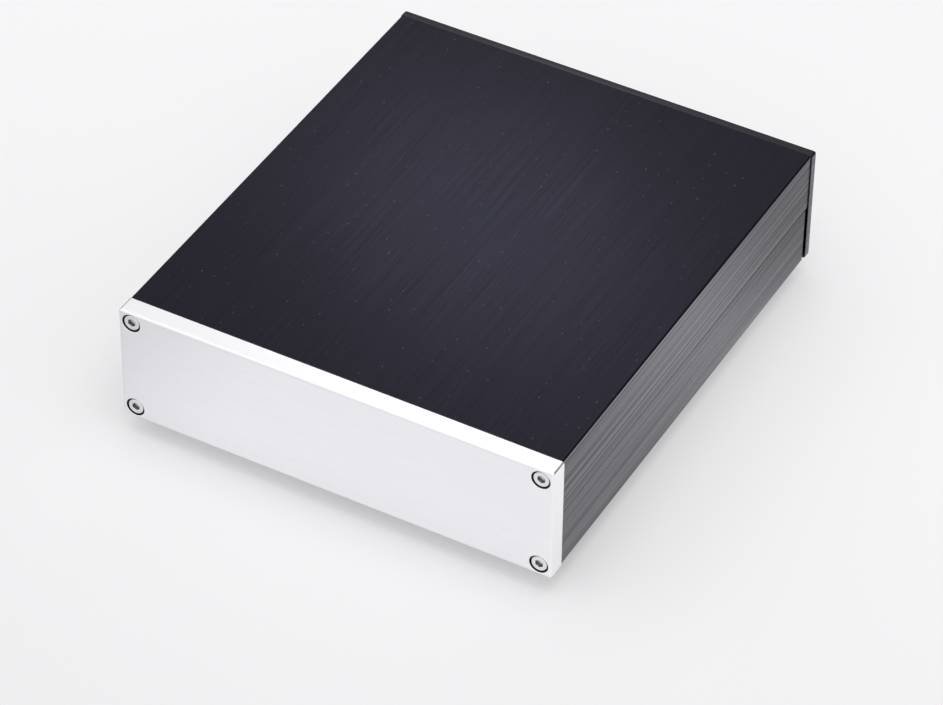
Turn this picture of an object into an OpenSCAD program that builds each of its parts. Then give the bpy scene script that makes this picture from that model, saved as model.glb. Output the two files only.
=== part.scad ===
// Aluminium electronics chassis: two interlocking half shells cut from one extrusion,
// closed by a thick front panel and a thinner rear panel, standing on four rubber feet.
// Millimetres, +Z up, front towards -Y, origin on the ground under the middle of the chassis.

/* [Panels] */
// Width of the front and rear panels
panel_w = 150; // [110:1:240]
// Height of the front and rear panels
panel_h = 42; // [38:0.5:80]
// Thickness of the front panel
front_t = 6.4; // [5.5:0.1:12]
// Thickness of the rear panel
rear_t = 3.2; // [2.5:0.1:6]
// Rounding of the four corners of a panel
panel_corner_r = 0.9; // [0.9:0.1:3]
// Edge break round the outer face of a panel
outer_break = 0.8; // [0.2:0.1:0.8]
// Edge break round the inner face of a panel
inner_break = 0.1; // [0.05:0.05:0.5]

/* [Shells] */
// Length of the top shell, between the two panels
shell_len = 165.2; // [100:0.1:300]
// How far the bottom shell stops short of the rear panel
rear_gap = 1.6; // [0:0.1:3]
// How far each side of the shells stands in from the ends of the panels
shell_inset = 0.4; // [0:0.05:1]
// Thickness of the flat top and bottom walls
flat_wall = 2.5; // [2:0.1:4]
// Thickness of the side walls
side_wall = 3; // [2.6:0.1:4]
// Rounding of the long outer edges
shell_edge_r = 0.65; // [0.3:0.05:2]
// Bevel along the outer edge of the seam
seam_bevel = 0.15; // [0.05:0.05:0.5]
// Clearance between the two shells at the seam
seam_clearance = 0.05; // [0:0.05:0.2]

/* [Tongue and groove] */
// Thickness of the tongue along one seam edge
tongue_t = 1; // [0.8:0.1:1.3]
// Height of the tongue
tongue_h = 1.6; // [1:0.1:2.4]
// Clearance round the tongue in its groove
tongue_clearance = 0.1; // [0.05:0.05:0.2]

/* [Board slots] */
// Thickness of the circuit board that a pair of slots takes
board_t = 1.6; // [0.8:0.1:2.4]
// Play of the board in its slot
board_clearance = 0.2; // [0.1:0.05:0.4]
// Depth of a board slot
slot_depth = 2.5; // [1.5:0.1:4]
// Thickness of the ribs on both sides of a slot
slot_rib_t = 1.4; // [1:0.1:2]
// Height of the middle of a slot above or below the seam
slot_height = 6; // [5.5:0.5:7]

/* [Panel screws] */
// Distance of a screw from the end of its panel
screw_from_end = 4.4; // [4.2:0.1:8]
// Distance of a screw from the top or bottom edge of its panel
screw_from_edge = 4.1; // [4:0.1:8]
// Diameter of the screw shanks
screw_d = 3; // [2.5:0.1:3.5]
// Length of a panel screw inside its shell
screw_reach = 8; // [5:0.5:20]
// Clearance round a shank in a panel hole
hole_clearance = 0.2; // [0.1:0.05:0.4]
// Clearance round a shank in the screw channel of a shell
channel_clearance = 0.1; // [0.05:0.05:0.2]
// Wall round a screw channel
channel_wall = 1.6; // [1:0.1:2]
// Width of the slit that opens each screw channel to the inside
channel_slit = 1.2; // [0.6:0.1:2]

/* [Front screws] */
// Diameter of the socket head
head_d = 5.5; // [5:0.1:6]
// Height of the socket head
head_h = 3; // [2:0.1:3.5]
// Edge break on top of the socket head
head_break = 0.35; // [0.1:0.05:0.6]
// Width across the flats of the hexagon socket
socket_flats = 2.5; // [1.5:0.1:3]
// Depth of the hexagon socket
socket_depth = 1.6; // [0.8:0.1:1.9]
// How far the head lies below the front face
head_sunk = 0.2; // [0:0.05:1]
// Clearance round the head in its counterbore
head_clearance = 0.45; // [0.1:0.05:0.6]

/* [Rear screws] */
// Diameter of the countersunk head
sink_d = 6; // [5.5:0.1:7]
// Clearance of the countersunk head in its seat
sink_clearance = 0.05; // [0.02:0.01:0.1]
// Width across the flats of the hexagon socket in a countersunk head
sink_socket_flats = 2; // [1.3:0.1:2.5]
// Depth of the hexagon socket in a countersunk head
sink_socket_depth = 1.1; // [0.6:0.1:1.6]

/* [Feet] */
// Height of a foot
foot_h = 7; // [5.5:0.5:15]
// Diameter of a foot where it meets the chassis
foot_d = 16; // [14:0.5:24]
// Diameter of a foot where it stands on the ground
foot_tip_d = 13.5; // [12:0.5:20]
// Edge break round the bottom of a foot
foot_break = 0.8; // [0.3:0.1:1.2]
// Distance of a foot's middle from the nearest edges of the chassis
foot_from_edge = 22; // [16:1:40]
// Depth of the recess that hides a foot's screw
foot_recess_depth = 3.4; // [2.8:0.1:4.5]
// Clearance round the screw head in the recess
foot_recess_clearance = 0.7; // [0.2:0.1:1.2]
// Diameter of the pan head
pan_d = 5.6; // [5:0.1:6]
// Height of the pan head
pan_h = 2.2; // [1.6:0.1:2.5]
// Width of each arm of the cross recess
cross_w = 0.9; // [0.6:0.1:1.2]
// Span of the cross recess
cross_span = 3; // [2:0.1:3.4]
// Depth of the cross recess
cross_depth = 1.3; // [0.8:0.1:1.5]
// How far a foot's screw stops short of the inside of the bottom wall
foot_screw_short = 0.2; // [0:0.1:1]

/* [Hidden] */
$fn = 64;
// Cutting shapes run past the faces they open by this much
cut_past = 1;

depth = front_t + shell_len + rear_t;
front_y = -depth / 2;
rear_y = depth / 2;
shell_front_y = front_y + front_t;
middle_z = foot_h + panel_h / 2;

shell_w = panel_w - 2 * shell_inset;
half_h = (panel_h - seam_clearance) / 2;
cavity_w = shell_w - 2 * side_wall;
cavity_h = half_h - flat_wall;
tongue_x = (shell_w - side_wall) / 2;

screw_x = panel_w / 2 - screw_from_end;
screw_z = panel_h / 2 - screw_from_edge;
channel_z = screw_z - seam_clearance / 2;
channel_bore_r = screw_d / 2 + channel_clearance;
channel_r = channel_bore_r + channel_wall;
hole_r = screw_d / 2 + hole_clearance;

counterbore_r = head_d / 2 + head_clearance;
counterbore_depth = head_h + head_sunk;
front_screw_len = front_t - counterbore_depth + screw_reach;
sink_seat_r = sink_d / 2 + sink_clearance;
rear_screw_len = rear_t + screw_reach;

slot_w = board_t + board_clearance;
foot_x = panel_w / 2 - foot_from_edge;
foot_y = depth / 2 - foot_from_edge;
foot_recess_r = pan_d / 2 + foot_recess_clearance;
foot_screw_len = foot_h - foot_recess_depth + flat_wall - foot_screw_short;

BLACK = "#2c2c33";
SILVER = "#dcdde0";
STEEL = "#b9babd";
RUBBER = "#1c1c1d";

// A flat section in X and Z, drawn out from y to y + len
module drawn_along_y(y, len) {
    translate([0, y + len, 0])
        rotate([90, 0, 0])
            linear_extrude(len)
                children();
}

// The four screw positions of a panel, each with Y as the screw's axis
module at_panel_screws() {
    for (side = [-1, 1], level = [-1, 1])
        translate([side * screw_x, 0, middle_z + level * screw_z])
            children();
}

// The four foot positions, on the ground
module at_feet() {
    for (side = [-1, 1], end = [-1, 1])
        translate([side * foot_x, end * foot_y, 0])
            children();
}

// A shape turned about Z, laid along +Y
module turned_along_y() {
    rotate([-90, 0, 0])
        rotate_extrude()
            children();
}

// Outline of a half shell above the seam: long edges rounded, seam edges bevelled
module shell_outline() {
    difference() {
        union() {
            translate([-shell_w / 2, 0])
                square([shell_w, half_h - shell_edge_r]);
            translate([shell_edge_r - shell_w / 2, 0])
                square([shell_w - 2 * shell_edge_r, half_h]);
            for (side = [-1, 1])
                translate([side * (shell_w / 2 - shell_edge_r), half_h - shell_edge_r])
                    circle(shell_edge_r);
        }
        for (side = [-1, 1])
            translate([side * shell_w / 2, 0])
                rotate(45)
                    square(seam_bevel * sqrt(2), center = true);
    }
}

// Two ribs that hold the edge of a circuit board between them, on the right-hand wall
module board_slot_ribs() {
    for (level = [-1, 1])
        translate([cavity_w / 2 - slot_depth, slot_height + level * (slot_w + slot_rib_t) / 2 - slot_rib_t / 2])
            square([slot_depth + side_wall / 2, slot_rib_t]);
}

// The bore of the right-hand screw channel, with the slit that opens it to the inside
module channel_bore() {
    translate([screw_x, channel_z]) {
        circle(channel_bore_r);
        rotate(225)
            translate([0, -channel_slit / 2])
                square([channel_r + cut_past, channel_slit]);
    }
}

// Section of a half shell, seam along the X axis: tongue on the right, groove on the left
module shell_section() {
    difference() {
        union() {
            difference() {
                shell_outline();
                translate([-cavity_w / 2, -cut_past])
                    square([cavity_w, cavity_h + cut_past]);
            }
            for (turn = [0, 1])
                mirror([turn, 0]) {
                    translate([screw_x, channel_z])
                        circle(channel_r);
                    board_slot_ribs();
                }
            translate([tongue_x - tongue_t / 2, -tongue_h])
                square([tongue_t, 2 * tongue_h]);
        }
        for (turn = [0, 1])
            mirror([turn, 0])
                channel_bore();
        translate([-tongue_x - tongue_t / 2 - tongue_clearance, -cut_past])
            square([tongue_t + 2 * tongue_clearance, cut_past + tongue_h + tongue_clearance]);
    }
}

// A straight bar of panel with both long edges broken, outer face at y = 0
module panel_bar(across, along, t) {
    half = across / 2;
    outer = [half - outer_break, half];
    inner = [half - inner_break, half];
    translate([0, 0, -along / 2])
        linear_extrude(along)
            polygon([
                [-outer[0], 0], [outer[0], 0], [outer[1], outer_break],
                [inner[1], t - inner_break], [inner[0], t],
                [-inner[0], t], [-inner[1], t - inner_break], [-outer[1], outer_break]
            ]);
}

// A panel of thickness t, outer face at y = 0, with rounded corners and broken edges
module panel_blank(t) {
    r = panel_corner_r;
    panel_bar(panel_w, panel_h - 2 * r, t);
    rotate([0, 90, 0])
        panel_bar(panel_h, panel_w - 2 * r, t);
    for (side = [-1, 1], level = [-1, 1])
        translate([side * (panel_w / 2 - r), 0, level * (panel_h / 2 - r)])
            turned_along_y()
                polygon([[0, 0], [r - outer_break, 0], [r, outer_break], [r, t - inner_break], [r - inner_break, t], [0, t]]);
}

// A hexagon socket sunk from y = 0
module hexagon_socket(flats, sunk) {
    translate([0, -cut_past, 0])
        rotate([-90, 0, 0])
            cylinder(h = sunk + cut_past, d = flats / cos(30), $fn = 6);
}

// A socket head screw, top of the head at y = 0
module socket_head_screw() {
    head_r = head_d / 2;
    end = head_h + front_screw_len;
    difference() {
        turned_along_y()
            polygon([
                [0, 0], [head_r - head_break, 0], [head_r, head_break], [head_r, head_h],
                [screw_d / 2, head_h], [screw_d / 2, end], [0, end]
            ]);
        hexagon_socket(socket_flats, socket_depth);
    }
}

// A countersunk screw, top of the head at y = 0
module countersunk_screw() {
    cone = (sink_d - screw_d) / 2;
    difference() {
        turned_along_y()
            polygon([
                [0, 0], [sink_d / 2, 0], [screw_d / 2, cone],
                [screw_d / 2, rear_screw_len], [0, rear_screw_len]
            ]);
        hexagon_socket(sink_socket_flats, sink_socket_depth);
    }
}

// A rubber foot, bored and recessed for its screw
module foot() {
    color(RUBBER)
        rotate_extrude()
            difference() {
                polygon([
                    [0, 0], [foot_tip_d / 2 - foot_break, 0], [foot_tip_d / 2, foot_break],
                    [foot_d / 2, foot_h], [0, foot_h]
                ]);
                translate([0, -cut_past])
                    square([foot_recess_r, foot_recess_depth + cut_past]);
                translate([0, -cut_past])
                    square([hole_r, foot_h + 2 * cut_past]);
            }
}

// A pan head screw with a cross recess, head down, seated in a foot
module foot_screw() {
    translate([0, 0, foot_recess_depth])
        difference() {
            union() {
                cylinder(h = foot_screw_len, d = screw_d);
                translate([0, 0, -pan_h])
                    cylinder(h = pan_h / 2, d1 = pan_d - pan_h / 2, d2 = pan_d);
                translate([0, 0, -pan_h / 2])
                    cylinder(h = pan_h / 2, d = pan_d);
            }
            for (turn = [0, 90])
                rotate(turn)
                    translate([-cross_span / 2, -cross_w / 2, -pan_h - cut_past])
                        cube([cross_span, cross_w, cross_depth + cut_past]);
        }
}

module top_shell() {
    color(BLACK)
        translate([0, 0, middle_z + seam_clearance / 2])
            drawn_along_y(shell_front_y, shell_len)
                shell_section();
}

module bottom_shell() {
    color(BLACK)
        difference() {
            translate([0, 0, middle_z - seam_clearance / 2])
                drawn_along_y(shell_front_y, shell_len - rear_gap)
                    rotate(180)
                        shell_section();
            at_feet()
                translate([0, 0, foot_h - cut_past])
                    cylinder(h = flat_wall + 2 * cut_past, r = channel_bore_r);
        }
}

module front_panel() {
    color(SILVER)
        difference() {
            translate([0, front_y, middle_z])
                panel_blank(front_t);
            translate([0, front_y - cut_past, 0])
                at_panel_screws()
                    rotate([-90, 0, 0]) {
                        cylinder(h = front_t + 2 * cut_past, r = hole_r);
                        cylinder(h = counterbore_depth + cut_past, r = counterbore_r);
                    }
        }
}

module rear_panel() {
    color(BLACK)
        difference() {
            translate([0, rear_y, middle_z])
                rotate(180)
                    panel_blank(rear_t);
            translate([0, rear_y, 0])
                at_panel_screws()
                    rotate([90, 0, 0]) {
                        translate([0, 0, -cut_past])
                            cylinder(h = rear_t + 2 * cut_past, r = hole_r);
                        cylinder(h = sink_seat_r - hole_r, r1 = sink_seat_r, r2 = hole_r);
                    }
        }
}

module front_screws() {
    color(STEEL)
        translate([0, front_y + head_sunk, 0])
            at_panel_screws()
                socket_head_screw();
}

module rear_screws() {
    color(STEEL)
        translate([0, rear_y, 0])
            at_panel_screws()
                rotate(180)
                    countersunk_screw();
}

module foot_front_left() {
    translate([-foot_x, -foot_y, 0])
        foot();
}

module foot_front_right() {
    translate([foot_x, -foot_y, 0])
        foot();
}

module foot_rear_left() {
    translate([-foot_x, foot_y, 0])
        foot();
}

module foot_rear_right() {
    translate([foot_x, foot_y, 0])
        foot();
}

module foot_screws() {
    color(STEEL)
        at_feet()
            foot_screw();
}

top_shell();
bottom_shell();
front_panel();
rear_panel();
front_screws();
rear_screws();
foot_front_left();
foot_front_right();
foot_rear_left();
foot_rear_right();
foot_screws();
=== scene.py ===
"""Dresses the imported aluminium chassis: finishes, panels, screws, rubber feet and a pale studio."""
import math
from collections import namedtuple

import bmesh
import bpy
from bpy.props import FloatProperty, FloatVectorProperty, PointerProperty
from mathutils import Matrix, Vector


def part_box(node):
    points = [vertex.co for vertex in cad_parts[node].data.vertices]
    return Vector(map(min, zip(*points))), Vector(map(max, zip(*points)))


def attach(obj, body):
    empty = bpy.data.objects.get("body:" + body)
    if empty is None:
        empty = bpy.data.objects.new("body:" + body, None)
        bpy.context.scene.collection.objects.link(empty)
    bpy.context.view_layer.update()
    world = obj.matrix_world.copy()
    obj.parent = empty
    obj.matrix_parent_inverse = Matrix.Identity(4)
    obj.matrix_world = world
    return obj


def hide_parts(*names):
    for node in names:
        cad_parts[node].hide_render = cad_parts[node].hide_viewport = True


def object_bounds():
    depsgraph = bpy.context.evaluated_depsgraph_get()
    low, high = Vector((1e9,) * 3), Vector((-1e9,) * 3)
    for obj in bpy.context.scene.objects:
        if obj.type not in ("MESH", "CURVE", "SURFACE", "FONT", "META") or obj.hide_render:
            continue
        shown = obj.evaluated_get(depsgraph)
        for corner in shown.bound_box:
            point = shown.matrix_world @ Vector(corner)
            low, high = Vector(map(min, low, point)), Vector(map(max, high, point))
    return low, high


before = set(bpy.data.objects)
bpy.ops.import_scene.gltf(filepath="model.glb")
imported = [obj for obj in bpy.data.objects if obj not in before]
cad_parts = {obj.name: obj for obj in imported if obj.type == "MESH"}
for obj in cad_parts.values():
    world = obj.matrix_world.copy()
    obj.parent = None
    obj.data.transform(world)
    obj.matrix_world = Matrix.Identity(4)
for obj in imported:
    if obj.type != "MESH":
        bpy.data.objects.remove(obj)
cad_low, cad_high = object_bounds()

bl_info = {
    "name": "Aluminium chassis finish",
    "version": (1, 0, 0),
    "blender": (4, 5, 0),
    "location": "View3D > Sidebar > Chassis",
    "description": "Models the panels, screws and feet of the chassis and gives every surface its finish",
    "category": "Object",
}

MM = 0.001
NEAR = 1e-6
MERGE = 2e-6
SHADE = "shade"

# Steps round the shapes
CORNER_STEPS = 8
BREAK_STEPS = 3
HOLE_STEPS = 48
SCREW_STEPS = 48
PAN_STEPS = 40
FOOT_STEPS = 64
FLOOR_STEPS = 64

# Small details of the shapes: threads in pitches, then lengths and shares of what they belong to
THREAD_LEAD, THREAD_ROOT, THREAD_RISE, THREAD_CREST = 1.25, 0.15, 0.45, 0.6
SOCKET_MOUTH = 0.18 * MM
POINT_WIDTH, POINT_DEPTH = 0.05, 0.3
CROSS_TAPER = 0.55
HEAD_FOOT = 0.1 * MM
SINK_EDGE = 0.08 * MM
PAN_ROUND = 0.8
FOOT_LIP = 0.25 * MM
# Shares of painted shade in the hexagon sockets and in the cross recesses
SOCKET_SHADE, CROSS_SHADE = 0.8, 0.6
SMOOTH_BELOW = math.radians(40)

# Black metal. Sides is a factor on the tones of the sides. Three values are for the flat walls, the
# lower half of a side and its upper half
# The sides take far lighter tones than the flat walls of the same metal, a painted reflection of the bright
# floor. The streaks between the dark and light tones are grain
Brush = namedtuple("Brush", "flat sides lines along side_from contrast dust wear")
COARSE_SHARE = (0.12, 0.75, 0.7)
STREAK_LOW, STREAK_HIGH = (0.32, 0.0, 0.0), (0.68, 1.0, 1.0)
BUMP_SHARE = (0.12, 1.0, 1.0)
FLAT_TONES = (0.6, 1.4)
BLACK_BUMP = 0.01 * MM
BLACK_ROUGH_SPREAD = 0.05
SIDE_EDGE, SIDE_BLEND = 0.08 * MM, 0.06 * MM
SEAM_BLEND = 1.0 * MM
# Near the seam the sides blend towards a lighter tone: edge wear and a painted highlight on the seam's
# bevels
SEAM_WEAR_AND_HIGHLIGHT = (0.1 * MM, 0.25 * MM)
SEAM_WEAR_AND_HIGHLIGHT_TONE = (0.25, 0.245, 0.255)
SPECK_TONE = (0.037, 0.037, 0.0475)
SPECK_CELLS, SPECK_SIZE = 170.0, 0.026
COARSE_SCALE = (0.23, 0.35, 0.23)

# The other finishes
Grain = namedtuple("Grain", "lines coarse contrast bump")
SILVER_GRAIN = Grain(lines=(120.0, 2600.0, 2600.0), coarse=0.25, contrast=1.2, bump=0.015 * MM)
SILVER_ROUGH_SPREAD = 0.06
MILLED_RAMP = (0.5 * MM, 0.9 * MM)
STEEL_GRAIN = Grain(lines=(2200.0, 2200.0, 2200.0), coarse=0.5, contrast=1.0, bump=0.01 * MM)
STEEL_DULL, STEEL_ROUGH = 0.86, (0.34, 0.22)
RUBBER_GRAIN = Grain(lines=(1500.0, 1500.0, 1500.0), coarse=0.4, contrast=1.2, bump=0.05 * MM)
RUBBER_WORN, RUBBER_ROUGH = 1.7, (0.82, 0.66)

# Studio. Ramps are in metres on the floor, and parts of a unit vector on the walls
SENSOR = 36.0
FLOOR_RADIUS, FLOOR_DROP = 6.0, 0.05 * MM
# The floor's glow is lighter towards the back, a painted falloff of light. In metal the floor shows a
# painted reflection, brighter right of the chassis and darker at the far left and the rear right
GLOW_RAMP = (-0.22, 0.10)
MIRROR_LEFT, MIRROR_RIGHT = (-0.115, -0.045), (0.060, 0.075)
MIRROR_RISE, MIRROR_FALL = (-0.030, 0.042), (0.044, 0.118)
BACK_RAMP, HORIZON_RAMP, CEILING_RAMP = (-0.15, 0.35), (0.05, 0.16), (0.36, 0.62)
DARK_MIDDLE, DARK_RAMP, DARK_RISE = 0.3, (0.22, 0.45), 0.25
SHINE = (0.003, 0.002)

FACING_FRONT = Matrix.Rotation(math.radians(90), 4, "X")
FACING_REAR = Matrix.Rotation(math.radians(180), 4, "Z") @ FACING_FRONT
FACING_DOWN = Matrix.Rotation(math.radians(180), 4, "X")


# Values that a user would change

def length(label, about, millimetres):
    """A length property with its default in millimetres."""
    return FloatProperty(name=label, description=about, default=millimetres * MM, min=0.0,
                         precision=5, unit="LENGTH")


def share(label, about, value):
    """A property between 0 and 1."""
    return FloatProperty(name=label, description=about, default=value, min=0.0, max=1.0, subtype="FACTOR")


def amount(label, about, value, unit="NONE"):
    """A value of 0 or more."""
    return FloatProperty(name=label, description=about, default=value, min=0.0, unit=unit)


def tint(label, about, value):
    """A colour property."""
    return FloatVectorProperty(name=label, description=about, default=value, min=0.0, max=1.0,
                               subtype="COLOR")


def spot(label, about, value):
    """A position property, in metres."""
    return FloatVectorProperty(name=label, description=about, default=value, precision=5,
                               subtype="TRANSLATION")


def turn(label, about, degrees):
    """An angle property with its default in degrees."""
    return FloatProperty(name=label, description=about, default=math.radians(degrees), subtype="ANGLE")


class PanelSizes(bpy.types.PropertyGroup):
    """Edges and holes of the front and rear panels."""
    corner_radius: length("Corner radius", "Rounding of a panel's four corners", 0.9)
    outer_break: length("Outer edge break", "Rounding round the outer face of a panel", 0.8)
    inner_break: length("Inner edge break", "Rounding round the inner face of the front panel", 0.1)
    rear_break: length("Rear panel's inner edge break", "Rounding round the inner face of the rear panel",
                       0.2)
    rim_break: length("Hole edge break", "Edge break round the mouth of a counterbore", 0.12)
    counterbore: length("Counterbore diameter", "Width of the holes that the socket heads lie in", 6.4)
    counterbore_depth: length("Counterbore depth", "Depth of the holes that the socket heads lie in", 3.2)
    clearance_hole: length("Clearance hole diameter", "Width of the holes that the shanks pass through",
                           3.4)
    countersink: length("Countersink diameter", "Width of the conical seats in the rear panel", 6.1)


class ScrewSizes(bpy.types.PropertyGroup):
    """The three kinds of screw."""
    shank: length("Shank diameter", "Outside diameter of the threads", 3.0)
    thread_depth: length("Thread depth", "How far the thread is cut into the shank", 0.24)
    thread_pitch: length("Thread pitch", "Distance from one thread to the next", 0.5)
    head: length("Socket head diameter", "Width of a front screw's head", 5.5)
    head_height: length("Socket head height", "Height of a front screw's head", 3.0)
    head_break: length("Socket head edge", "Rounding on top of a front screw's head", 0.5)
    socket_flats: length("Socket width", "Width across the flats of the hexagon socket", 2.5)
    socket_depth: length("Socket depth", "Depth of the hexagon socket", 1.6)
    sink_head: length("Countersunk head diameter", "Width of a rear screw's head", 6.0)
    sink_flats: length("Countersunk socket width", "Width across the flats of a rear screw's socket", 2.0)
    sink_depth: length("Countersunk socket depth", "Depth of a rear screw's socket", 1.1)
    pan_head: length("Pan head diameter", "Width of a foot screw's head", 5.6)
    pan_height: length("Pan head height", "Height of a foot screw's head", 2.2)
    cross_width: length("Cross arm width", "Width of each arm of the cross recess", 0.9)
    cross_span: length("Cross span", "Span of the cross recess", 3.0)
    cross_depth: length("Cross depth", "Depth of the cross recess", 1.3)


class FootSizes(bpy.types.PropertyGroup):
    """The rubber feet."""
    tip: length("Foot tip diameter", "Width of a foot where it stands on the ground", 13.5)
    tip_break: length("Foot tip edge", "Rounding round the bottom of a foot", 0.8)
    top_break: length("Foot top edge", "Rounding round the top of a foot", 0.3)
    recess: length("Foot recess diameter", "Width of the recess round the screw head", 7.0)
    recess_depth: length("Foot recess depth", "Depth of the recess round the screw head", 3.4)


class FinishValues(bpy.types.PropertyGroup):
    """Colours and grain of the finishes."""
    black_flat: tint("Black, flat walls", "Tone of the black shells on their top and bottom",
                     (0.0186, 0.0177, 0.0266))
    # The sides' tones are far lighter than the flat walls' tone: a painted reflection, with the brushed
    # streaks between dark and light
    black_low: tint("Black, dark streaks", "Darkest tone of the black shells' brushed sides",
                    (0.029, 0.027, 0.034))
    black_high: tint("Black, light streaks", "Lightest tone of the black shells' brushed sides",
                     (0.153, 0.1455, 0.171))
    black_rear: tint("Black, rear panel", "Tone of the black rear panel", (0.040, 0.0385, 0.045))
    black_rough: share("Black roughness", "Mean roughness of the black brushed metal", 0.26)
    black_spread: share("Black sheen spread", "How far the black sheen spreads across its lines", 0.5)
    silver_low: tint("Silver, dark streaks", "Darkest tone of the silver front panel", (0.88, 0.875, 0.90))
    silver_high: tint("Silver, light streaks", "Lightest tone of the silver front panel",
                      (0.96, 0.955, 0.98))
    # The panel's milled edges and top take a lighter tone than its face, partly a painted highlight
    silver_edge: tint("Silver, milled edges", "Tone of the silver front panel's edges", (0.98, 0.98, 0.985))
    silver_rough: share("Silver roughness", "Mean roughness of the silver front panel", 0.32)
    steel: tint("Steel", "Colour of the screws", (0.86, 0.86, 0.87))
    # Deep places: painted shade that darkens the counterbores and the screws' sockets
    deep: tint("Deep places", "Tone of the counterbores and the screws' sockets, dulled by grime",
               (0.25, 0.25, 0.255))
    rubber: tint("Rubber", "Colour of the feet", (0.016, 0.016, 0.017))


class StageValues(bpy.types.PropertyGroup):
    """Camera, floor and light."""
    aim: spot("Aim", "Point on the chassis that the camera looks at", (0.006523, -0.013352, 0.010880))
    azimuth: turn("Azimuth", "Turn of the camera round the chassis, from its front", 28.7321)
    elevation: turn("Elevation", "Height of the camera above the horizon", 40.9257)
    roll: turn("Roll", "Turn of the camera about its own axis", 0.6969)
    distance: length("Distance", "Distance from the camera to its aim", 1398.55)
    focal: amount("Focal length", "Focal length of the lens on a 36 mm sensor", 170.87, unit="CAMERA")
    floor: tint("Floor", "Colour of the floor, on which the shadow falls", (0.46, 0.46, 0.465))
    # The floor's glow, lighter at the back, is painted light. Its mirrored glow is a painted reflection
    glow_front: tint("Floor glow, front", "Light of the floor itself near the camera", (0.335, 0.335, 0.34))
    glow_back: tint("Floor glow, back", "Light of the floor itself behind the chassis",
                    (0.415, 0.415, 0.42))
    mirror_left: share("Mirrored floor, left", "Glow of the mirrored floor at the far left", 0.5)
    mirror_front: amount("Mirrored floor, front right", "Glow of the mirrored floor, front right", 1.14)
    mirror_middle: amount("Mirrored floor, right", "Glow of the mirrored floor right of the middle", 1.55)
    mirror_rear: share("Mirrored floor, rear right", "Glow of the mirrored floor at the rear right", 0.4)
    horizon: tint("Horizon", "Brightness of the studio where the floor ends", (0.86, 0.86, 0.87))
    front_wall: tint("Front wall", "Brightness of the studio behind the camera", (0.95, 0.95, 0.96))
    back_wall: tint("Back wall", "Brightness of the studio behind the chassis", (0.10, 0.10, 0.11))
    front_ceiling: amount("Front ceiling", "Brightness of the studio above the camera", 1.05)
    back_ceiling: amount("Back ceiling", "Brightness of the studio above the back wall", 0.96)
    key_power: amount("Overhead light", "Power of the large soft light overhead", 4.2, unit="POWER")
    key_place: spot("Overhead light position", "Middle of the large soft light", (0.15, -0.10, 1.10))
    key_size: length("Overhead light size", "Side of the large soft light", 900.0)
    glow_power: amount("Card light", "Power of the small light mirrored in the top", 0.083, unit="POWER")
    glow_size: length("Card light width", "Width of the small light mirrored in the top", 150.0)
    glow_height: length("Card light height", "Height of the small light mirrored in the top", 90.0)
    glow_distance: length("Card light distance", "Distance of the small light from the top", 600.0)
    glow_tint: tint("Card light colour", "Colour of the small light mirrored in the top", (0.88, 0.91, 1.0))


# Mesh work. Turned parts and plates are made with their outer face at height 0, looking up, then placed

def new_shape():
    """An empty mesh whose faces carry a value for how deep in a hole they are, which sets their painted
    shade.
    """
    bm = bmesh.new()
    bm.faces.layers.float.new(SHADE)
    return bm


def shade_faces(bm, faces, depth):
    """Marks faces as deep in a hole, from 0 to 1, which sets their painted shade."""
    layer = bm.faces.layers.float[SHADE]
    for face in faces:
        face[layer] = depth


def verts_of(geom):
    """The vertices in a list of mesh elements."""
    return [part for part in geom if isinstance(part, bmesh.types.BMVert)]


def ring_edges(verts):
    """The edges between neighbours of a loop of vertices, in a steady order."""
    inside = set(verts)
    found = []
    for vert in verts:
        for edge in vert.link_edges:
            if edge not in found and edge.other_vert(vert) in inside:
                found.append(edge)
    return found


def circle_loop(bm, radius, segments, middle=(0.0, 0.0)):
    """A ring of edges at height 0."""
    made = bmesh.ops.create_circle(bm, cap_ends=False, radius=radius, segments=segments,
                                   matrix=Matrix.Translation((middle[0], middle[1], 0.0)))
    return ring_edges(made["verts"])


def drawn_ring(bm, edges, middle, scale, drop, deep=0.0):
    """Draws a ring of edges down by drop, scaled about the middle, and returns the new ring."""
    verts = verts_of(bmesh.ops.extrude_edge_only(bm, edges=edges)["geom"])
    # The new faces get this share of painted shade
    shade_faces(bm, {face for vert in verts for face in vert.link_faces}, deep)
    centre = Matrix.Translation((-middle[0], -middle[1], 0.0))
    bmesh.ops.scale(bm, verts=verts, vec=(scale, scale, 1.0), space=centre)
    bmesh.ops.translate(bm, verts=verts, vec=(0.0, 0.0, -drop))
    return ring_edges(verts)


def bevel_edges(bm, edges, size, steps):
    """Rounds edges with the given number of steps."""
    bmesh.ops.bevel(bm, geom=edges, offset=size, offset_type="OFFSET", segments=steps, profile=0.5,
                    affect="EDGES", material=-1, clamp_overlap=True)


def at_level(part, level):
    """True if every vertex of an edge or face is at this height."""
    return all(abs(vert.co.z - level) < NEAR for vert in part.verts)


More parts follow.
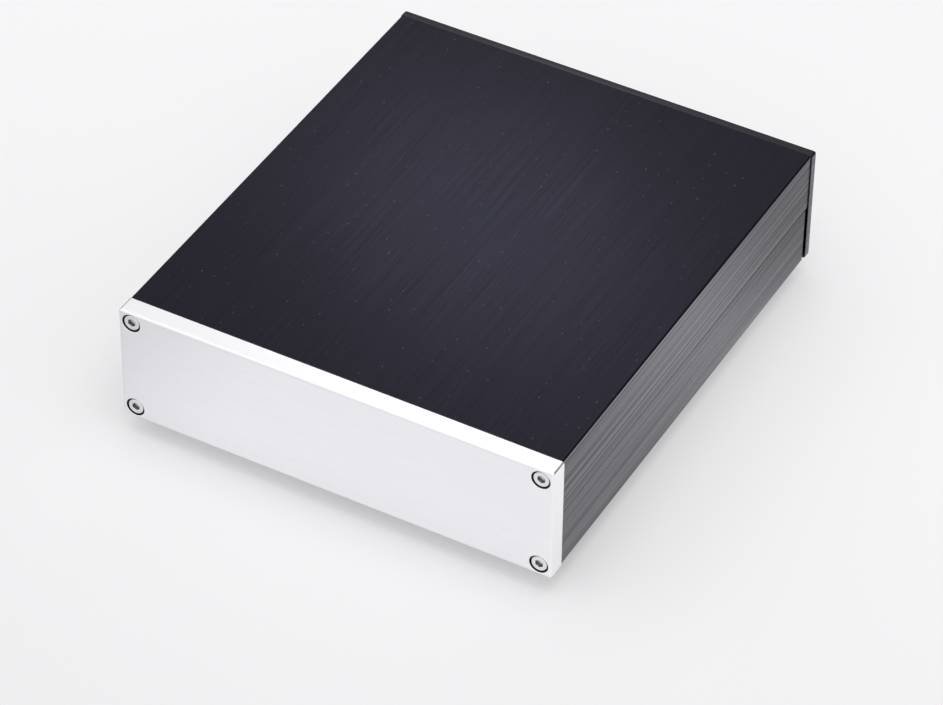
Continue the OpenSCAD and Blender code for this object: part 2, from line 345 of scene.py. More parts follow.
def drilled_plate(bm, size, corner_radius, breaks, hole_profile, hole_middles):
    """A plate with rounded edges, drilled through. A hole follows a profile of radius and depth."""
    width, height, thick = size
    shape = Matrix.Translation((0.0, 0.0, -thick / 2)) @ Matrix.Diagonal((width, height, thick, 1.0))
    bmesh.ops.create_cube(bm, size=1.0, matrix=shape)
    upright = [e for e in bm.edges if abs(e.verts[0].co.z - e.verts[1].co.z) > thick / 2]
    bevel_edges(bm, upright, corner_radius, CORNER_STEPS)
    for level, size_of_break in zip((0.0, -thick), breaks):
        bevel_edges(bm, [e for e in bm.edges if at_level(e, level)], size_of_break, BREAK_STEPS)
        flat = max((f for f in bm.faces if at_level(f, level)), key=lambda f: f.calc_area())
        bmesh.ops.delete(bm, geom=[flat], context="FACES_ONLY")
    loops = {level: [e for e in bm.edges if e.is_boundary and at_level(e, level)]
             for level in (0.0, -thick)}
    for middle in hole_middles:
        ring = circle_loop(bm, hole_profile[0][0], HOLE_STEPS, middle)
        loops[0.0] += ring
        for (radius, depth), (next_radius, next_depth) in zip(hole_profile, hole_profile[1:]):
            # The walls below a hole's rim break get painted shade
            ring = drawn_ring(bm, ring, middle, next_radius / radius, next_depth - depth,
                              deep=float(depth > 0.0))
        loops[-thick] += ring
    for edges in loops.values():
        bmesh.ops.triangle_fill(bm, edges=edges, use_beauty=True, use_dissolve=False)


def turned(bm, profile, steps, closed=False):
    """Spins a profile of radius and height points about the upright axis."""
    points = [bm.verts.new((radius, 0.0, height)) for radius, height in profile]
    pairs = list(zip(points, points[1:]))
    if closed:
        pairs.append((points[-1], points[0]))
    edges = [bm.edges.new(pair) for pair in pairs]
    bmesh.ops.spin(bm, geom=points + edges, cent=(0.0, 0.0, 0.0), axis=(0.0, 0.0, 1.0),
                   dvec=(0.0, 0.0, 0.0), angle=math.tau, steps=steps, use_merge=True, use_duplicate=False)
    bmesh.ops.remove_doubles(bm, verts=bm.verts, dist=MERGE)


def quarter_round(outer, top, radius, steps):
    """Profile points of a rounded edge, from the flat on top to the side."""
    angles = [math.radians(90) * step / steps for step in range(steps + 1)]
    return [(outer - radius + radius * math.sin(a), top - radius + radius * math.cos(a)) for a in angles]


def threaded_shank(sizes, start, end):
    """Profile points of a threaded shank with a bevelled tip, from its start down to its end."""
    crest = sizes.shank / 2
    root = crest - sizes.thread_depth
    turns = int((start - end - sizes.shank / 2) / sizes.thread_pitch)
    points = [(crest, start), (crest, start - sizes.thread_pitch)]
    first = start - THREAD_LEAD * sizes.thread_pitch
    for number in range(turns):
        height = first - number * sizes.thread_pitch
        points += [(root, height), (root, height - THREAD_ROOT * sizes.thread_pitch)]
        points += [(crest, height - THREAD_RISE * sizes.thread_pitch),
                   (crest, height - THREAD_CREST * sizes.thread_pitch)]
    points = [point for point in points if point[1] > end + sizes.thread_depth * 2]
    return points + [(root, end + sizes.thread_depth), (root - sizes.thread_depth, end), (0.0, end)]


def hexagon_socket(bm, rim, flats, depth):
    """Fills a head's top between its rim and a hexagon, and sinks the hexagon to a drilled point."""
    middle = (0.0, 0.0)
    corner = flats / 2 / math.cos(math.radians(30))
    mouth = circle_loop(bm, corner + SOCKET_MOUTH, segments=6)
    bmesh.ops.triangle_fill(bm, edges=rim + mouth, use_beauty=True, use_dissolve=False)
    ring = drawn_ring(bm, mouth, middle, corner / (corner + SOCKET_MOUTH), SOCKET_MOUTH)
    # The socket's walls get painted shade
    ring = drawn_ring(bm, ring, middle, 1.0, depth - SOCKET_MOUTH, deep=SOCKET_SHADE)
    point = drawn_ring(bm, ring, middle, POINT_WIDTH, POINT_DEPTH * corner)
    bmesh.ops.edgeloop_fill(bm, edges=point)


def cross_recess(bm, rim, sizes):
    """Fills a head's top between its rim and a cross, and sinks the cross with tapering arms."""
    made = bmesh.ops.create_grid(bm, x_segments=1, y_segments=1, size=sizes.cross_width / 2)
    square = made["verts"]
    arm = (sizes.cross_span - sizes.cross_width) / 2
    for edge in ring_edges(square):
        outward = (edge.verts[0].co + edge.verts[1].co).normalized()
        tip = verts_of(bmesh.ops.extrude_edge_only(bm, edges=[edge])["geom"])
        bmesh.ops.translate(bm, verts=tip, vec=outward * arm)
    reach = sizes.cross_span / 2 + NEAR
    faces = [f for f in bm.faces if at_level(f, 0.0) and all(v.co.length < 2 * reach for v in f.verts)]
    outline = [e for f in faces for e in f.edges if e.is_boundary]
    bmesh.ops.triangle_fill(bm, edges=rim + outline, use_beauty=True, use_dissolve=False)
    made = bmesh.ops.extrude_face_region(bm, geom=faces)["geom"]
    bmesh.ops.delete(bm, geom=faces, context="FACES")
    floor = verts_of(made)
    bmesh.ops.scale(bm, verts=floor, vec=(CROSS_TAPER, CROSS_TAPER, 1.0))
    bmesh.ops.translate(bm, verts=floor, vec=(0.0, 0.0, -sizes.cross_depth))
    # The cross recess gets painted shade
    shade_faces(bm, {face for vert in floor for face in vert.link_faces}, CROSS_SHADE)


def open_rim(bm):
    """The edges round the open top of a turned head."""
    return [e for e in bm.edges if e.is_boundary and at_level(e, 0.0)]


def repeated(bm, facing, places):
    """Turns the shape to face outwards and puts a copy of it at every place."""
    bmesh.ops.transform(bm, matrix=facing, verts=bm.verts)
    first = bm.verts[:] + bm.edges[:] + bm.faces[:]
    for place in places[1:]:
        made = bmesh.ops.duplicate(bm, geom=first)["geom"]
        bmesh.ops.translate(bm, verts=verts_of(made), vec=place)
    bmesh.ops.translate(bm, verts=verts_of(first), vec=places[0])


def finished_piece(name, bm, node, material):
    """Makes the mesh an object that stands for a CAD node, and rides with the chassis."""
    bmesh.ops.remove_doubles(bm, verts=bm.verts, dist=MERGE)
    bmesh.ops.recalc_face_normals(bm, faces=bm.faces)
    if any(not edge.is_manifold for edge in bm.edges):
        raise RuntimeError(f"{name} has an open or doubled edge")
    mesh = bpy.data.meshes.new(name)
    bm.to_mesh(mesh)
    bm.free()
    mesh.shade_smooth()
    mesh.set_sharp_from_angle(angle=SMOOTH_BELOW)
    mesh.materials.append(material)
    piece = bpy.data.objects.new(name, mesh)
    bpy.context.scene.collection.objects.link(piece)
    normals = piece.modifiers.new("Flats stay flat", "WEIGHTED_NORMAL")
    normals.keep_sharp = True
    normals.weight = 100
    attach(piece, "root")
    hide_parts(node)


def screw_places(node, head):
    """The middles of the four heads of a panel's screws, on their outer faces, as X and Z."""
    low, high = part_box(node)
    radius = head / 2
    return [(x, z) for x in (low.x + radius, high.x - radius) for z in (low.z + radius, high.z - radius)]


# Shader work

def feed(tree, socket, value):
    """Links an output to a socket, or sets the socket's own value."""
    if isinstance(value, bpy.types.NodeSocket):
        tree.links.new(value, socket)
    else:
        socket.default_value = value


def calc(tree, operation, *values):
    """A Math node's result."""
    node = tree.nodes.new("ShaderNodeMath")
    node.operation = operation
    for socket, value in zip(node.inputs, values):
        feed(tree, socket, value)
    return node.outputs[0]


def vector_calc(tree, operation, first, second):
    """A Vector Math node's result."""
    node = tree.nodes.new("ShaderNodeVectorMath")
    node.operation = operation
    feed(tree, node.inputs[0], first)
    feed(tree, node.inputs[1], second)
    return node.outputs[0]


def ranged(tree, value, low, high, to_low, to_high, smooth=False):
    """A Map Range node's result."""
    node = tree.nodes.new("ShaderNodeMapRange")
    node.interpolation_type = "SMOOTHSTEP" if smooth else "LINEAR"
    labels = ("Value", "From Min", "From Max", "To Min", "To Max")
    for label, given in zip(labels, (value, low, high, to_low, to_high)):
        feed(tree, node.inputs[label], given)
    return node.outputs["Result"]


def blended(tree, factor, first, second):
    """A colour between two colours."""
    node = tree.nodes.new("ShaderNodeMix")
    node.data_type = "RGBA"
    feed(tree, node.inputs["Factor"], factor)
    for socket, value in zip([s for s in node.inputs if s.type == "RGBA"], (first, second)):
        feed(tree, socket, value if isinstance(value, bpy.types.NodeSocket) else (*value, 1.0))
    return next(s for s in node.outputs if s.type == "RGBA")


def noise(tree, where, detail, roughness):
    """A noise value at a position that is already scaled."""
    node = tree.nodes.new("ShaderNodeTexNoise")
    feed(tree, node.inputs["Vector"], where)
    for label, given in (("Scale", 1.0), ("Detail", detail), ("Roughness", roughness)):
        node.inputs[label].default_value = given
    return node.outputs["Fac"]


def new_group(name, inputs, output):
    """An empty node group with its input sockets and one value output."""
    group = bpy.data.node_groups.new(name, "ShaderNodeTree")
    for label, kind, value in inputs:
        group.interface.new_socket(label, in_out="INPUT", socket_type=kind).default_value = value
    group.interface.new_socket(output, in_out="OUTPUT", socket_type="NodeSocketFloat")
    return group, group.nodes.new("NodeGroupInput").outputs, group.nodes.new("NodeGroupOutput").inputs


def brushed_grain():
    """Node group: long streaks of a brushed surface, 0 to 1 about a half."""
    if "brushed_grain" in bpy.data.node_groups:
        return bpy.data.node_groups["brushed_grain"]
    group, given, result = new_group("brushed_grain", [
        ("Position", "NodeSocketVector", (0.0, 0.0, 0.0)),
        ("Lines per metre", "NodeSocketVector", (1000.0, 1000.0, 1000.0)),
        ("Coarse share", "NodeSocketFloat", 0.5),
        ("Contrast", "NodeSocketFloat", 1.0),
    ], "Streak")
    fine_spot = vector_calc(group, "MULTIPLY", given["Position"], given["Lines per metre"])
    coarse_spot = vector_calc(group, "MULTIPLY", fine_spot, COARSE_SCALE)
    fine = calc(group, "SUBTRACT", noise(group, fine_spot, detail=3.0, roughness=0.65), 0.5)
    coarse = calc(group, "SUBTRACT", noise(group, coarse_spot, detail=2.0, roughness=0.5), 0.5)
    coarse_part = calc(group, "MULTIPLY", coarse, given["Coarse share"])
    fine_part = calc(group, "MULTIPLY", fine, calc(group, "SUBTRACT", 1.0, given["Coarse share"]))
    both = calc(group, "MULTIPLY", calc(group, "ADD", coarse_part, fine_part), given["Contrast"])
    feed(group, result["Streak"], calc(group, "ADD", both, 0.5))
    return group


def dust_specks():
    """Node group: a few tiny round specks, 1 on a speck and 0 elsewhere."""
    if "dust_specks" in bpy.data.node_groups:
        return bpy.data.node_groups["dust_specks"]
    group, given, result = new_group("dust_specks", [
        ("Position", "NodeSocketVector", (0.0, 0.0, 0.0)),
        ("Cells per metre", "NodeSocketFloat", 100.0),
        ("Speck size", "NodeSocketFloat", 0.03),
        ("Share of cells", "NodeSocketFloat", 0.2),
    ], "Speck")
    cells = group.nodes.new("ShaderNodeTexVoronoi")
    cells.voronoi_dimensions = "2D"
    feed(group, cells.inputs["Vector"], given["Position"])
    feed(group, cells.inputs["Scale"], given["Cells per metre"])
    split = group.nodes.new("ShaderNodeSeparateColor")
    feed(group, split.inputs["Color"], cells.outputs["Color"])
    chosen = calc(group, "LESS_THAN", split.outputs["Red"], given["Share of cells"])
    size = calc(group, "MULTIPLY", given["Speck size"], calc(group, "ADD", 0.5, split.outputs["Green"]))
    inside = calc(group, "LESS_THAN", cells.outputs["Distance"], size)
    feed(group, result["Speck"], calc(group, "MULTIPLY", chosen, inside))
    return group


def deep_shade(tree):
    """Mask of the painted shade: 1 on the faces that are deep in a hole, 0 on the others."""
    node = tree.nodes.new("ShaderNodeAttribute")
    node.attribute_name = SHADE
    return node.outputs["Fac"]


def placed_group(tree, group, values):
    """A node group in a material, with its own values. Returns its only output."""
    node = tree.nodes.new("ShaderNodeGroup")
    node.node_tree = group
    for label, value in values.items():
        feed(tree, node.inputs[label], value)
    return node.outputs[0]


def new_material(name, constants):
    """A Principled material with constants set. Returns it, its tree, its shader and object coordinates."""
    material = bpy.data.materials.new(name)
    material.use_nodes = True
    tree = material.node_tree
    shader = tree.nodes["Principled BSDF"]
    for label, value in constants.items():
        shader.inputs[label].default_value = value
    return material, tree, shader, tree.nodes.new("ShaderNodeTexCoord").outputs["Object"]


def placed_grain(tree, where, grain):
    """The streaks of a finish that has the same grain all over."""
    return placed_group(tree, brushed_grain(), {
        "Position": where, "Lines per metre": grain.lines,
        "Coarse share": grain.coarse, "Contrast": grain.contrast,
    })


def add_bump(tree, shader, height, depth):
    """Feeds a height to the shader's normal."""
    bump = tree.nodes.new("ShaderNodeBump")
    bump.inputs["Strength"].default_value = 1.0
    bump.inputs["Distance"].default_value = depth
    feed(tree, bump.inputs["Height"], height)
    feed(tree, shader.inputs["Normal"], bump.outputs["Normal"])


def black_brushed(name, finish, brush):
    """Black anodised aluminium, brushed along an axis."""
    if name in bpy.data.materials:
        return bpy.data.materials[name]
    material, tree, shader, where = new_material(name, {"Anisotropic": finish.black_spread})
    across_lines = tree.nodes.new("ShaderNodeTangent")
    across_lines.direction_type = "RADIAL"
    across_lines.axis = brush.along
    feed(tree, shader.inputs["Tangent"], across_lines.outputs["Tangent"])
    split = tree.nodes.new("ShaderNodeSeparateXYZ")
    feed(tree, split.inputs[0], where)
    across = calc(tree, "ABSOLUTE", split.outputs["X"])
    side = ranged(tree, across, brush.side_from - SIDE_BLEND, brush.side_from + SIDE_BLEND, 0.0, 1.0,
                  smooth=True)
    seam = (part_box("bottom_shell")[0].z + cad_high.z) / 2
    upper = ranged(tree, split.outputs["Z"], seam - SEAM_BLEND, seam + SEAM_BLEND, 0.0, 1.0)

    def by_place(flat_value, low_value, high_value):
        on_side = ranged(tree, upper, 0.0, 1.0, low_value, high_value)
        return ranged(tree, side, 0.0, 1.0, flat_value, on_side)

    spacing = tree.nodes.new("ShaderNodeCombineXYZ")
    for socket, value in zip(spacing.inputs, brush.lines):
        feed(tree, socket, by_place(*value) if isinstance(value, tuple) else value)
    grain = placed_group(tree, brushed_grain(), {
        "Position": where, "Lines per metre": spacing.outputs[0],
        "Coarse share": by_place(*COARSE_SHARE), "Contrast": by_place(*brush.contrast),
    })
    streak = ranged(tree, grain, 0.0, 1.0, by_place(*STREAK_LOW), by_place(*STREAK_HIGH))
    dust = placed_group(tree, dust_specks(), {
        "Position": where, "Cells per metre": SPECK_CELLS, "Speck size": SPECK_SIZE,
        "Share of cells": brush.dust,
    })
    specks = calc(tree, "MULTIPLY", dust, calc(tree, "SUBTRACT", 1.0, side))
    calm = blended(tree, streak, *([tone * part for part in brush.flat] for tone in FLAT_TONES))
    # The sides take lighter tones than the flats: a painted reflection, with the streaks as grain
    dark, light = ([brush.sides * part for part in tone] for tone in (finish.black_low, finish.black_high))
    brushed = blended(tree, side, calm, blended(tree, streak, dark, light))
    # Lighter band along the seam: edge wear and a painted highlight on the seam's bevels
    off_seam = calc(tree, "ABSOLUTE", calc(tree, "SUBTRACT", split.outputs["Z"], seam))
    worn = calc(tree, "MULTIPLY", side, ranged(tree, off_seam, *SEAM_WEAR_AND_HIGHLIGHT, brush.wear, 0.0))
    rubbed_and_highlighted = blended(tree, worn, brushed, SEAM_WEAR_AND_HIGHLIGHT_TONE)
    feed(tree, shader.inputs["Base Color"], blended(tree, specks, rubbed_and_highlighted, SPECK_TONE))
    feed(tree, shader.inputs["Metallic"], calc(tree, "SUBTRACT", 1.0, specks))
    rough = ranged(tree, streak, 0.0, 1.0, finish.black_rough + BLACK_ROUGH_SPREAD,
                   finish.black_rough - BLACK_ROUGH_SPREAD)
    feed(tree, shader.inputs["Roughness"], rough)
    add_bump(tree, shader, calc(tree, "MULTIPLY", streak, by_place(*BUMP_SHARE)), BLACK_BUMP)
    return material


def silver_brushed(finish):
    """Clear anodised aluminium, finely brushed across its width."""
    if "silver_brushed" in bpy.data.materials:
        return bpy.data.materials["silver_brushed"]
    material, tree, shader, where = new_material("silver_brushed", {"Metallic": 1.0})
    streak = placed_grain(tree, where, SILVER_GRAIN)
    split = tree.nodes.new("ShaderNodeSeparateXYZ")
    feed(tree, split.inputs[0], where)
    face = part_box("front_panel")[0].y
    # Behind the front face the panel takes a lighter tone: milled edges, and partly a painted highlight
    milled = ranged(tree, split.outputs["Y"], *(face + inward for inward in MILLED_RAMP), 0.0, 1.0,
                    smooth=True)
    brushed = blended(tree, streak, finish.silver_low, finish.silver_high)
    metal = blended(tree, milled, brushed, finish.silver_edge)
    # Painted shade: the faces deep in the counterbores take the darker deep tone
    feed(tree, shader.inputs["Base Color"], blended(tree, deep_shade(tree), metal, finish.deep))
    rough = ranged(tree, streak, 0.0, 1.0, finish.silver_rough + SILVER_ROUGH_SPREAD,
                   finish.silver_rough - SILVER_ROUGH_SPREAD)
    feed(tree, shader.inputs["Roughness"], rough)
    add_bump(tree, shader, streak, SILVER_GRAIN.bump)
    return material


def bright_steel(finish):
    """Nickel-bright steel with faint turning marks."""
    if "bright_steel" in bpy.data.materials:
        return bpy.data.materials["bright_steel"]
    material, tree, shader, where = new_material("bright_steel", {"Metallic": 1.0})
    grain = placed_grain(tree, where, STEEL_GRAIN)
    dull = tuple(STEEL_DULL * part for part in finish.steel)
    turned_steel = blended(tree, grain, dull, finish.steel)
    # Painted shade: the faces deep in the sockets take the darker deep tone
    feed(tree, shader.inputs["Base Color"], blended(tree, deep_shade(tree), turned_steel, finish.deep))
    feed(tree, shader.inputs["Roughness"], ranged(tree, grain, 0.0, 1.0, *STEEL_ROUGH))
    add_bump(tree, shader, grain, STEEL_GRAIN.bump)
    return material


def foot_rubber(finish):
    """Matt moulded rubber."""
    if "foot_rubber" in bpy.data.materials:
        return bpy.data.materials["foot_rubber"]
    material, tree, shader, where = new_material("foot_rubber", {"Metallic": 0.0})
    grain = placed_grain(tree, where, RUBBER_GRAIN)
    worn = tuple(RUBBER_WORN * part for part in finish.rubber)
    feed(tree, shader.inputs["Base Color"], blended(tree, grain, finish.rubber, worn))
    feed(tree, shader.inputs["Roughness"], ranged(tree, grain, 0.0, 1.0, *RUBBER_ROUGH))
    add_bump(tree, shader, grain, RUBBER_GRAIN.bump)
    return material


# Operators, one for each piece or group of like pieces

class CHASSIS_OT_stage(bpy.types.Operator):
    """Makes the floor, the studio light and the camera"""
    bl_idname = "chassis.stage"
    bl_label = "Stage"

    def execute(self, context):
        values = context.scene.chassis_stage
        self.make_camera(context, values)
        self.make_floor(context, values)
        self.make_walls(context, values)
        self.make_lamps(context, values)
        context.scene.view_settings.view_transform = "Standard"
        return {"FINISHED"}

    def make_camera(self, context, values):
        level = math.cos(values.elevation)
        back = Vector((math.sin(values.azimuth) * level, -math.cos(values.azimuth) * level,
                       math.sin(values.elevation)))
        data = bpy.data.cameras.new("camera")
        data.sensor_fit = "HORIZONTAL"
        data.sensor_width = SENSOR
        data.lens = values.focal
        camera = bpy.data.objects.new("camera", data)
        context.scene.collection.objects.link(camera)
        camera.rotation_mode = "QUATERNION"
        camera.location = Vector(values.aim) + back * values.distance
        upright = (-back).to_track_quat("-Z", "Y")
        camera.rotation_quaternion = upright @ Matrix.Rotation(values.roll, 3, "Z").to_quaternion()
        context.scene.camera = camera

    def make_floor(self, context, values):
        bm = bmesh.new()
        bmesh.ops.create_circle(bm, cap_ends=True, radius=FLOOR_RADIUS, segments=FLOOR_STEPS,
                                matrix=Matrix.Translation((0.0, 0.0, -FLOOR_DROP)))
        mesh = bpy.data.meshes.new("floor")
        bm.to_mesh(mesh)
        bm.free()
        floor = bpy.data.objects.new("floor", mesh)
        context.scene.collection.objects.link(floor)
        material, tree, shader, where = new_material("floor_paper", {
            "Base Color": (*values.floor, 1.0), "Roughness": 0.9, "Specular IOR Level": 0.2,
        })
        split = tree.nodes.new("ShaderNodeSeparateXYZ")
        feed(tree, split.inputs[0], where)
        across, along = split.outputs["X"], split.outputs["Y"]
        # Painted light: the floor glows lighter towards the back
        toward_back = ranged(tree, along, *GLOW_RAMP, 0.0, 1.0, smooth=True)
        glow = blended(tree, toward_back, values.glow_front, values.glow_back)
        feed(tree, shader.inputs["Emission Color"], glow)
        # Painted reflection: rays mirrored by the metal see the floor brighter right of the chassis, darker
        # at the far left and the rear right
        rising = ranged(tree, along, *MIRROR_RISE, values.mirror_front, values.mirror_middle, smooth=True)
        falling = ranged(tree, along, *MIRROR_FALL, rising, values.mirror_rear, smooth=True)
        beside = ranged(tree, across, *MIRROR_RIGHT, 1.0, falling)
        left = ranged(tree, across, *MIRROR_LEFT, values.mirror_left, 1.0, smooth=True)
        mirrored = calc(tree, "MULTIPLY", beside, left)
        ray = tree.nodes.new("ShaderNodeLightPath").outputs
        seen = calc(tree, "MAXIMUM", ray["Is Camera Ray"], ray["Is Transmission Ray"])
        painted_reflection = calc(tree, "MULTIPLY", ray["Is Glossy Ray"], mirrored)
        feed(tree, shader.inputs["Emission Strength"], calc(tree, "MAXIMUM", seen, painted_reflection))
        mesh.materials.append(material)

    def make_walls(self, context, values):
        world = bpy.data.worlds.new("studio")
        world.use_nodes = True
        context.scene.world = world
        tree = world.node_tree
        split = tree.nodes.new("ShaderNodeSeparateXYZ")
        feed(tree, split.inputs[0], tree.nodes.new("ShaderNodeTexCoord").outputs["Generated"])
        behind = ranged(tree, split.outputs["Y"], *BACK_RAMP, 0.0, 1.0, smooth=True)
        off_floor = ranged(tree, split.outputs["Z"], *HORIZON_RAMP, 0.0, 1.0, smooth=True)
        off_panel = calc(tree, "ABSOLUTE", calc(tree, "ADD", split.outputs["X"], DARK_MIDDLE))
        rise = ranged(tree, off_panel, *DARK_RAMP, 0.0, DARK_RISE, smooth=True)
        beside = calc(tree, "MULTIPLY", behind, rise)
        height = calc(tree, "SUBTRACT", split.outputs["Z"], beside)
        overhead = ranged(tree, height, *CEILING_RAMP, 0.0, 1.0, smooth=True)
        walls = blended(tree, behind, values.front_wall, values.back_wall)
        below = blended(tree, off_floor, values.horizon, walls)
        above = blended(tree, behind, [values.front_ceiling] * 3, [values.back_ceiling] * 3)
        feed(tree, tree.nodes["Background"].inputs["Color"], blended(tree, overhead, below, above))

    def make_lamps(self, context, values):
        shine = Vector((*SHINE, cad_high.z))
        seen_from = (context.scene.camera.location - shine).normalized()
        mirrored = Vector((-seen_from.x, -seen_from.y, seen_from.z))
        lamps = (
            ("overhead_light", values.key_place, Vector(), (values.key_size, values.key_size),
             values.key_power, (1.0, 1.0, 1.0)),
            ("card_light", shine + mirrored * values.glow_distance, shine,
             (values.glow_size, values.glow_height), values.glow_power, values.glow_tint),
        )
        for name, place, target, size, power, colour in lamps:
            data = bpy.data.lights.new(name, "AREA")
            data.shape = "ELLIPSE"
            data.size, data.size_y = size
            data.energy = power
            data.color = colour
            lamp = bpy.data.objects.new(name, data)
            context.scene.collection.objects.link(lamp)
            lamp.location = place
            lamp.rotation_euler = (target - Vector(place)).to_track_quat("-Z", "Y").to_euler()


class CHASSIS_OT_shells(bpy.types.Operator):
    """Gives the two half shells their black brushed finish"""
    bl_idname = "chassis.shells"
    bl_label = "Half shells"

    def execute(self, context):
        finish = context.scene.chassis_finish
        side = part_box("top_shell")[1].x - SIDE_EDGE
        brush = Brush(flat=finish.black_flat, sides=1.0, along="Y", side_from=side,
                      lines=(2800.0, (18.0, 26.0, 9.0), (2900.0, 2900.0, 4200.0)),
                      contrast=(3.4, 2.45, 5.2), dust=0.55, wear=0.5)
        material = black_brushed("black_shell", finish, brush)
        for node in ("top_shell", "bottom_shell"):
            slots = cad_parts[node].data.materials
            slots.clear()
            slots.append(material)
        return {"FINISHED"}


class CHASSIS_OT_front_panel(bpy.types.Operator):
    """Makes the thick silver front panel with its counterbored holes"""
    bl_idname = "chassis.front_panel"
    bl_label = "Front panel"

    def execute(self, context):
        sizes = context.scene.chassis_panels
        low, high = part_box("front_panel")
        middle = (low + high) / 2
        size = high - low
        wall, hole = sizes.counterbore / 2, sizes.clearance_hole / 2
        profile = [(wall + sizes.rim_break, 0.0), (wall, sizes.rim_break), (wall, sizes.counterbore_depth),
                   (hole, sizes.counterbore_depth), (hole, size.y)]
        places = screw_places("front_screws", context.scene.chassis_screws.head)
        bm = new_shape()
        drilled_plate(bm, (size.x, size.z, size.y), sizes.corner_radius,
                      (sizes.outer_break, sizes.inner_break), profile,
                      [(x - middle.x, z - middle.z) for x, z in places])
        repeated(bm, FACING_FRONT, [Vector((middle.x, low.y, middle.z))])
        finished_piece("front_panel_plate", bm, "front_panel",
                       silver_brushed(context.scene.chassis_finish))
        return {"FINISHED"}


class CHASSIS_OT_rear_panel(bpy.types.Operator):
    """Makes the thin black rear panel with its countersunk holes"""
    bl_idname = "chassis.rear_panel"
    bl_label = "Rear panel"

    def execute(self, context):
        sizes = context.scene.chassis_panels
        low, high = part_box("rear_panel")
        middle = (low + high) / 2
        size = high - low
        seat, hole = sizes.countersink / 2, sizes.clearance_hole / 2
        profile = [(seat, 0.0), (hole, seat - hole), (hole, size.y)]
        places = screw_places("rear_screws", context.scene.chassis_screws.sink_head)
        bm = new_shape()
        drilled_plate(bm, (size.x, size.z, size.y), sizes.corner_radius,
                      (sizes.outer_break, sizes.rear_break), profile,
                      [(middle.x - x, z - middle.z) for x, z in places])
        repeated(bm, FACING_REAR, [Vector((middle.x, high.y, middle.z))])
        finish = context.scene.chassis_finish
        side = high.x - SIDE_EDGE
        # The panel's narrow ends take 1.7 times the side tones: a painted reflection
        brush = Brush(flat=finish.black_rear, sides=1.7, along="X", side_from=side,
                      lines=(26.0, 1800.0, 1800.0), contrast=(3.0, 1.6, 1.6), dust=0.0, wear=0.0)
        material = black_brushed("black_panel", finish, brush)
        finished_piece("rear_panel_plate", bm, "rear_panel", material)
        return {"FINISHED"}


class CHASSIS_OT_front_screws(bpy.types.Operator):
    """Makes the four socket head screws of the front panel"""
    bl_idname = "chassis.front_screws"
    bl_label = "Front screws"

    def execute(self, context):
        sizes = context.scene.chassis_screws
        low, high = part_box("front_screws")
        outer = sizes.head / 2
        under = -sizes.head_height
        profile = quarter_round(outer, 0.0, sizes.head_break, steps=4)
        profile += [(outer, under + HEAD_FOOT), (outer - HEAD_FOOT, under)]
        profile += threaded_shank(sizes, under, low.y - high.y)
        bm = new_shape()
        turned(bm, profile, SCREW_STEPS)
        hexagon_socket(bm, open_rim(bm), sizes.socket_flats, sizes.socket_depth)
        places = [Vector((x, low.y, z)) for x, z in screw_places("front_screws", sizes.head)]
        repeated(bm, FACING_FRONT, places)
        finished_piece("front_screw_set", bm, "front_screws",
                       bright_steel(context.scene.chassis_finish))
        return {"FINISHED"}


class CHASSIS_OT_rear_screws(bpy.types.Operator):
    """Makes the four countersunk screws of the rear panel"""
    bl_idname = "chassis.rear_screws"
    bl_label = "Rear screws"

    def execute(self, context):
        sizes = context.scene.chassis_screws
        low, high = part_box("rear_screws")
        outer = sizes.sink_head / 2
        under = -(outer - sizes.shank / 2)
        profile = [(outer - SINK_EDGE, 0.0), (outer, -SINK_EDGE / 2), (outer - SINK_EDGE / 2, -SINK_EDGE)]
        profile += threaded_shank(sizes, under, low.y - high.y)
        bm = new_shape()
        turned(bm, profile, SCREW_STEPS)
        hexagon_socket(bm, open_rim(bm), sizes.sink_flats, sizes.sink_depth)
        places = [Vector((x, high.y, z)) for x, z in screw_places("rear_screws", sizes.sink_head)]
        repeated(bm, FACING_REAR, places)
        finished_piece("rear_screw_set", bm, "rear_screws",
                       bright_steel(context.scene.chassis_finish))
        return {"FINISHED"}


class CHASSIS_OT_feet(bpy.types.Operator):
    """Makes the four rubber feet"""
    bl_idname = "chassis.feet"
    bl_label = "Feet"

    def execute(self, context):
        sizes = context.scene.chassis_feet
        bore = context.scene.chassis_panels.clearance_hole / 2
        recess = sizes.recess / 2
        for place in ("front_left", "front_right", "rear_left", "rear_right"):
            low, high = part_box("foot_" + place)
            top = high.z - low.z
            outer = (high.x - low.x) / 2
            tip = sizes.tip / 2
            profile = [(bore, top)] + quarter_round(outer, top, sizes.top_break, steps=3)
            profile += [(r, -z) for r, z in reversed(quarter_round(tip, 0.0, sizes.tip_break, steps=5))]
            profile += [(recess + FOOT_LIP, 0.0), (recess, FOOT_LIP)]
            profile += [(recess, sizes.recess_depth), (bore, sizes.recess_depth)]
            bm = new_shape()
            turned(bm, profile, FOOT_STEPS, closed=True)
            repeated(bm, Matrix.Identity(4), [Vector(((low.x + high.x) / 2, (low.y + high.y) / 2, low.z))])
            finished_piece(f"foot_{place}_rubber", bm, "foot_" + place,
                           foot_rubber(context.scene.chassis_finish))
        return {"FINISHED"}


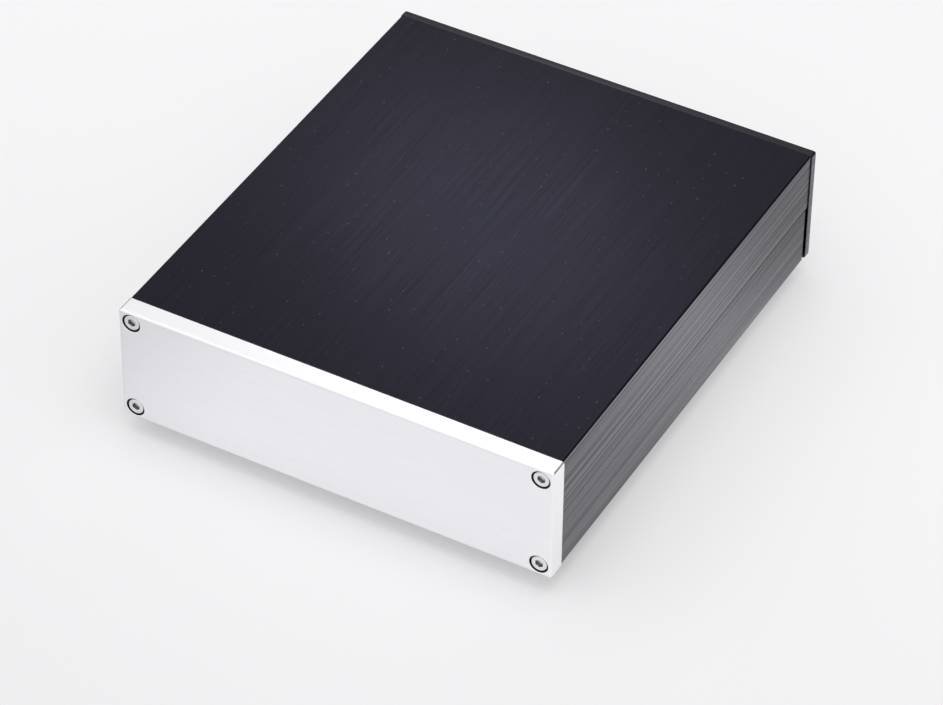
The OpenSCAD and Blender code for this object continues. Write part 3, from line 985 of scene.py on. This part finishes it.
class CHASSIS_OT_foot_screws(bpy.types.Operator):
    """Makes the four pan head screws that hold the feet"""
    bl_idname = "chassis.foot_screws"
    bl_label = "Foot screws"

    def execute(self, context):
        sizes = context.scene.chassis_screws
        low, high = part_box("foot_screws")
        outer = sizes.pan_head / 2
        dome = sizes.pan_height / 2
        profile = quarter_round(outer, 0.0, dome * PAN_ROUND, steps=6)
        profile += [(outer, -sizes.pan_height)]
        profile += threaded_shank(sizes, -sizes.pan_height, low.z - high.z)
        bm = new_shape()
        turned(bm, profile, PAN_STEPS)
        cross_recess(bm, open_rim(bm), sizes)
        places = [Vector((x, y, low.z)) for x in (low.x + outer, high.x - outer)
                  for y in (low.y + outer, high.y - outer)]
        repeated(bm, FACING_DOWN, places)
        finished_piece("foot_screw_set", bm, "foot_screws",
                       bright_steel(context.scene.chassis_finish))
        return {"FINISHED"}


class CHASSIS_PT_panel(bpy.types.Panel):
    """Lists the chassis operators and their values"""
    bl_idname = "CHASSIS_PT_panel"
    bl_label = "Chassis"
    bl_space_type = "VIEW_3D"
    bl_region_type = "UI"
    bl_category = "Chassis"

    def draw(self, context):
        for operator in OPERATORS:
            self.layout.operator(operator.bl_idname)
        for label in GROUPS:
            box = self.layout.box()
            values = getattr(context.scene, label)
            for name in values.__annotations__:
                box.prop(values, name)


GROUPS = {
    "chassis_panels": PanelSizes,
    "chassis_screws": ScrewSizes,
    "chassis_feet": FootSizes,
    "chassis_finish": FinishValues,
    "chassis_stage": StageValues,
}
OPERATORS = (
    CHASSIS_OT_stage, CHASSIS_OT_shells, CHASSIS_OT_front_panel, CHASSIS_OT_rear_panel,
    CHASSIS_OT_front_screws, CHASSIS_OT_rear_screws, CHASSIS_OT_feet, CHASSIS_OT_foot_screws,
)
CLASSES = (*GROUPS.values(), *OPERATORS, CHASSIS_PT_panel)


def register():
    for cls in CLASSES:
        bpy.utils.register_class(cls)
    for label, group in GROUPS.items():
        setattr(bpy.types.Scene, label, PointerProperty(type=group))


def unregister():
    for label in GROUPS:
        delattr(bpy.types.Scene, label)
    for cls in reversed(CLASSES):
        bpy.utils.unregister_class(cls)


def main():
    register()
    bpy.ops.chassis.stage()
    bpy.ops.chassis.shells()
    bpy.ops.chassis.front_panel()
    bpy.ops.chassis.rear_panel()
    bpy.ops.chassis.front_screws()
    bpy.ops.chassis.rear_screws()
    bpy.ops.chassis.feet()
    bpy.ops.chassis.foot_screws()


if __name__ == "__main__":
    main()
